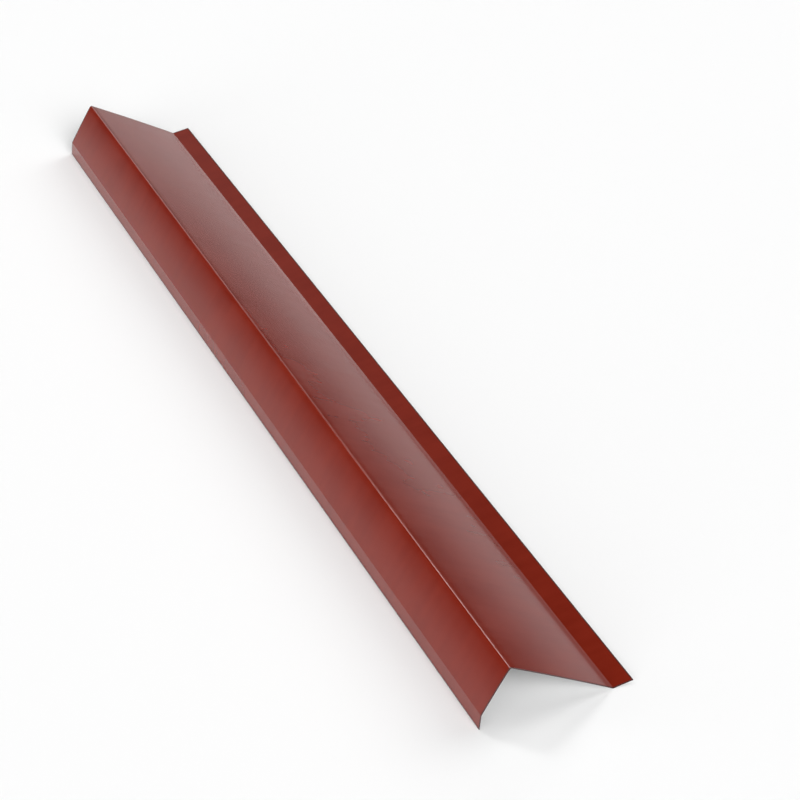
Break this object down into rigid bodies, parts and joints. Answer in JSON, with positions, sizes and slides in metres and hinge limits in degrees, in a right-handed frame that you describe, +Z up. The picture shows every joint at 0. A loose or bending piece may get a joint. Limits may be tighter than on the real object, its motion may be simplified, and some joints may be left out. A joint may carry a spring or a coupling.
{
  "type": "verge flashing",
  "caption": "Long folded sheet-metal verge flashing: a wide roof leg with an upturned lip and a narrower face leg ending in a drip.",
  "frame": {"origin": "on the floor, under the middle of the piece's box as it lies unheld: standing on the drip edge and on the lip fold", "axes": "+Y along the length, +Z up, +X across the section from the face leg to the lip"},
  "size_m": [0.1656, 1.25, 0.065],
  "materials": {
    "coated_sheet": "satin"
  },
  "bodies": {
    "root": {"verge_flashing": "coated_sheet"}
  },
  "joints": []
}
